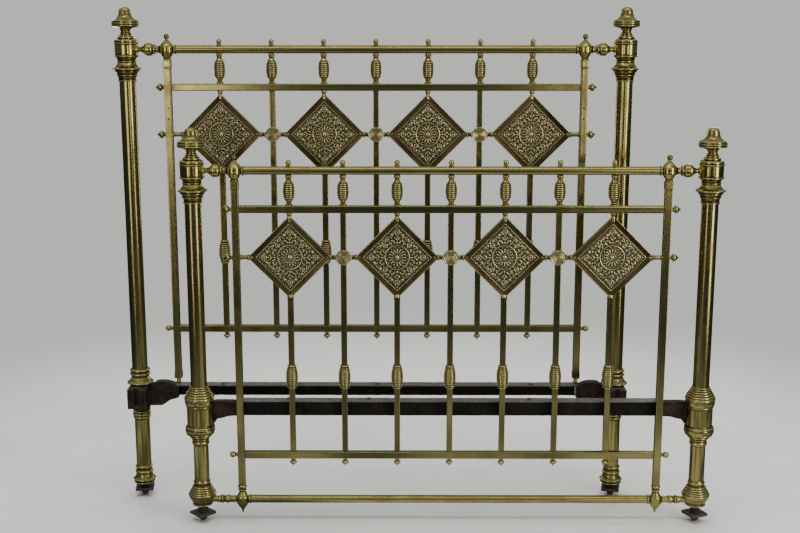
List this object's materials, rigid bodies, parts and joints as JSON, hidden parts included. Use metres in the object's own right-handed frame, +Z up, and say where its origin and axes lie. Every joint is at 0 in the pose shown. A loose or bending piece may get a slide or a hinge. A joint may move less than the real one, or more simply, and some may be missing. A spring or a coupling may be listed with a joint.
{
  "type": "pair of brass bedstead ends",
  "caption": "Head and foot ends of an antique brass double bed: round posts with crowns, spindles, embossed diamond plaques, iron cross rails and dovetail sockets.",
  "frame": {"origin": "floor level, under the middle of the whole pair as it is stored", "axes": "+X along the panels, to the viewer's right; +Z up; +Y from the foot end towards the head end behind it"},
  "size_m": [1.6555, 0.2705, 1.4055],
  "materials": {
    "polished_brass": "worn polished brass with brown tarnish",
    "tarnished_brass": "dull olive brass, drawn tube",
    "embossed_brass": "stamped sheet, dark in its ground",
    "black_iron": "old black paint, dusty on top",
    "rusty_iron": "matt, brown rust and dust"
  },
  "bodies": {
    "head_end": {"head_end_finial_left": "polished_brass", "head_end_crown_left": "polished_brass", "head_end_post_left": "tarnished_brass", "head_end_leg_left": "polished_brass", "head_end_corner_casting_left": "rusty_iron", "head_end_stile_left": "tarnished_brass", "head_end_finial_right": "polished_brass", "head_end_crown_right": "polished_brass", "head_end_post_right": "tarnished_brass", "head_end_leg_right": "polished_brass", "head_end_corner_casting_right": "rusty_iron", "head_end_stile_right": "tarnished_brass", "head_end_cross_iron": "black_iron", "head_end_top_rail": "polished_brass", "head_end_second_rail": "tarnished_brass", "head_end_bottom_rail": "tarnished_brass", "head_end_spindle_1": "tarnished_brass", "head_end_diamond_1": "embossed_brass", "head_end_spindle_2": "tarnished_brass", "head_end_spindle_3": "tarnished_brass", "head_end_diamond_3": "embossed_brass", "head_end_spindle_4": "tarnished_brass", "head_end_spindle_5": "tarnished_brass", "head_end_diamond_5": "embossed_brass", "head_end_spindle_6": "tarnished_brass", "head_end_spindle_7": "tarnished_brass", "head_end_diamond_7": "embossed_brass"},
    "foot_end": {"foot_end_finial_left": "polished_brass", "foot_end_crown_left": "polished_brass", "foot_end_post_left": "tarnished_brass", "foot_end_leg_left": "polished_brass", "foot_end_corner_casting_left": "rusty_iron", "foot_end_stile_left": "tarnished_brass", "foot_end_finial_right": "polished_brass", "foot_end_crown_right": "polished_brass", "foot_end_post_right": "tarnished_brass", "foot_end_leg_right": "polished_brass", "foot_end_corner_casting_right": "rusty_iron", "foot_end_stile_right": "tarnished_brass", "foot_end_cross_iron": "black_iron", "foot_end_top_rail": "polished_brass", "foot_end_second_rail": "tarnished_brass", "foot_end_bottom_rail": "tarnished_brass", "foot_end_low_rail": "polished_brass", "foot_end_spindle_1": "tarnished_brass", "foot_end_diamond_1": "embossed_brass", "foot_end_spindle_2": "tarnished_brass", "foot_end_spindle_3": "tarnished_brass", "foot_end_diamond_3": "embossed_brass", "foot_end_spindle_4": "tarnished_brass", "foot_end_spindle_5": "tarnished_brass", "foot_end_diamond_5": "embossed_brass", "foot_end_spindle_6": "tarnished_brass", "foot_end_spindle_7": "tarnished_brass", "foot_end_diamond_7": "embossed_brass"},
    "head_end_castor_left": {"head_end_castor_plate_left": "rusty_iron"},
    "head_end_castor_right": {"head_end_castor_plate_right": "rusty_iron"},
    "foot_end_castor_left": {"foot_end_castor_plate_left": "rusty_iron"},
    "foot_end_castor_right": {"foot_end_castor_plate_right": "rusty_iron"}
  },
  "joints": [
    {"name": "foot_end_spacing", "type": "slide", "parent": "head_end", "child": "foot_end", "axis": [-0.1175, -0.9931, 0], "range_m": [0, 1.727]},
    {"name": "head_castor_plate_swivel_left", "type": "hinge", "parent": "head_end", "child": "head_end_castor_left", "pos_m": [-0.7875, 0.095, 0.022], "axis": [0, 0, 1], "continuous": true},
    {"name": "head_castor_plate_swivel_right", "type": "hinge", "parent": "head_end", "child": "head_end_castor_right", "pos_m": [0.5845, 0.095, 0.022], "axis": [0, 0, 1], "continuous": true},
    {"name": "foot_castor_plate_swivel_left", "type": "hinge", "parent": "foot_end", "child": "foot_end_castor_left", "pos_m": [-0.5845, -0.095, 0.022], "axis": [0, 0, 1], "continuous": true},
    {"name": "foot_castor_plate_swivel_right", "type": "hinge", "parent": "foot_end", "child": "foot_end_castor_right", "pos_m": [0.7875, -0.095, 0.022], "axis": [0, 0, 1], "continuous": true}
  ]
}
